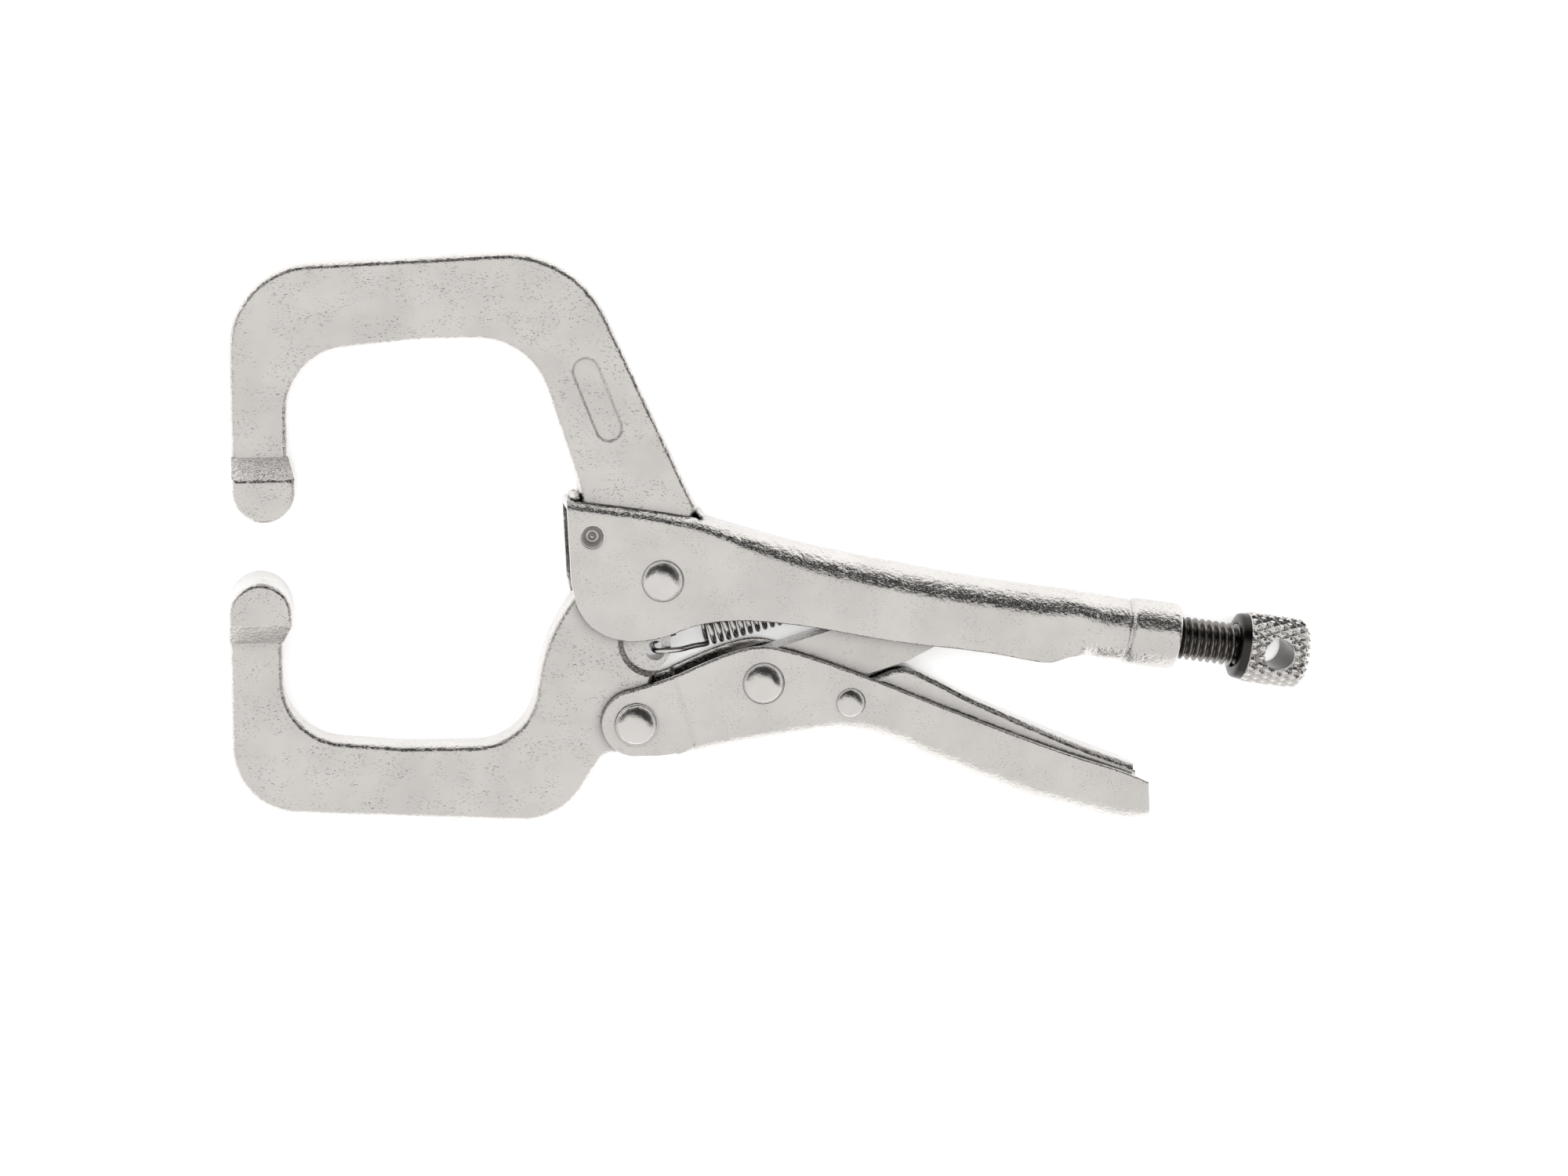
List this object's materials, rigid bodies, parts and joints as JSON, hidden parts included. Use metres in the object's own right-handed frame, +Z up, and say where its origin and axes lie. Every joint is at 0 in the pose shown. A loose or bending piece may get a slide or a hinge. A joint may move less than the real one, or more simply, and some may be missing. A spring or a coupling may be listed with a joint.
{
  "type": "locking C-clamp pliers",
  "caption": "Locking clamp pliers with C-shaped jaws, toggle-linked sheet steel handles, release lever and knurled adjusting screw, lying on their side.",
  "frame": {"origin": "on the ground below the middle of the tool's bounding box, with the tool lying on its side", "axes": "+X from the jaws to the adjusting knob, +Y from the lower jaw to the fixed jaw, +Z up, across the tool"},
  "size_m": [0.1496, 0.0802, 0.0127],
  "materials": {
    "handle_nickel": "satin nickel plate over pressed sheet steel",
    "jaw_nickel": "satin nickel plate over forged steel, finely pitted",
    "lever_nickel": "satin nickel plate over pressed sheet steel",
    "rivet_steel": "smooth peened steel",
    "link_steel": "blanked steel plate",
    "screw_steel": "rolled thread, slightly oily",
    "knob_nickel": "bright nickel over a diamond knurl",
    "spring_steel": "bright spring wire",
    "weld_steel": "bright weld metal"
  },
  "bodies": {
    "fixed_handle": {"fixed_handle": "handle_nickel", "upper_jaw": "jaw_nickel", "front_weld_bead": "weld_steel", "rear_weld_bead": "weld_steel", "jaw_pin": "rivet_steel", "jaw_pivot_rivet": "rivet_steel", "return_spring": "spring_steel"},
    "lower_jaw": {"lower_jaw": "jaw_nickel"},
    "lower_handle": {"lower_handle": "handle_nickel", "handle_pivot_rivet": "rivet_steel", "link_pivot_rivet": "rivet_steel", "lever_pivot_rivet": "rivet_steel"},
    "toggle_link": {"toggle_link": "link_steel"},
    "release_lever": {"release_lever": "lever_nickel"},
    "adjusting_screw": {"adjusting_screw": "screw_steel"},
    "screw_knob": {"screw_knob": "knob_nickel"}
  },
  "joints": [
    {"name": "lower_jaw", "type": "hinge", "parent": "fixed_handle", "child": "lower_jaw", "pos_m": [-0.01661, -0.00429, 0.00635], "axis": [0, 0, 1], "range_deg": [0, 28], "deforming": ["return_spring"]},
    {"name": "lower_handle", "type": "hinge", "parent": "lower_jaw", "child": "lower_handle", "pos_m": [-0.02031, -0.02399, 0.00635], "axis": [0, 0, 1], "range_deg": [-73, 0]},
    {"name": "toggle_link", "type": "hinge", "parent": "lower_handle", "child": "toggle_link", "pos_m": [-0.00285, -0.01869, 0.00635], "axis": [0, 0, 1], "range_deg": [0, 77.1]},
    {"name": "release_lever", "type": "hinge", "parent": "lower_handle", "child": "release_lever", "pos_m": [0.00916, -0.02166, 0.00635], "axis": [0, 0, 1], "range_deg": [0, 8.5]},
    {"name": "adjusting_screw", "type": "slide", "parent": "fixed_handle", "child": "adjusting_screw", "axis": [0.9877, -0.1564, 0], "range_m": [0, 0.008]},
    {"name": "screw_knob", "type": "hinge", "parent": "adjusting_screw", "child": "screw_knob", "pos_m": [0.06947, -0.01653, 0.00635], "axis": [0.9877, -0.1564, 0], "range_deg": [0, 2880]}
  ],
  "couplings": [
    {"joint": "lower_handle", "follows": "lower_jaw", "ratio": -2.6},
    {"joint": "toggle_link", "follows": "lower_jaw", "ratio": 2.75},
    {"joint": "release_lever", "follows": "lower_jaw", "ratio": 0.3},
    {"joint": "screw_knob", "follows": "adjusting_screw", "rad_per_m": 6283.2}
  ]
}
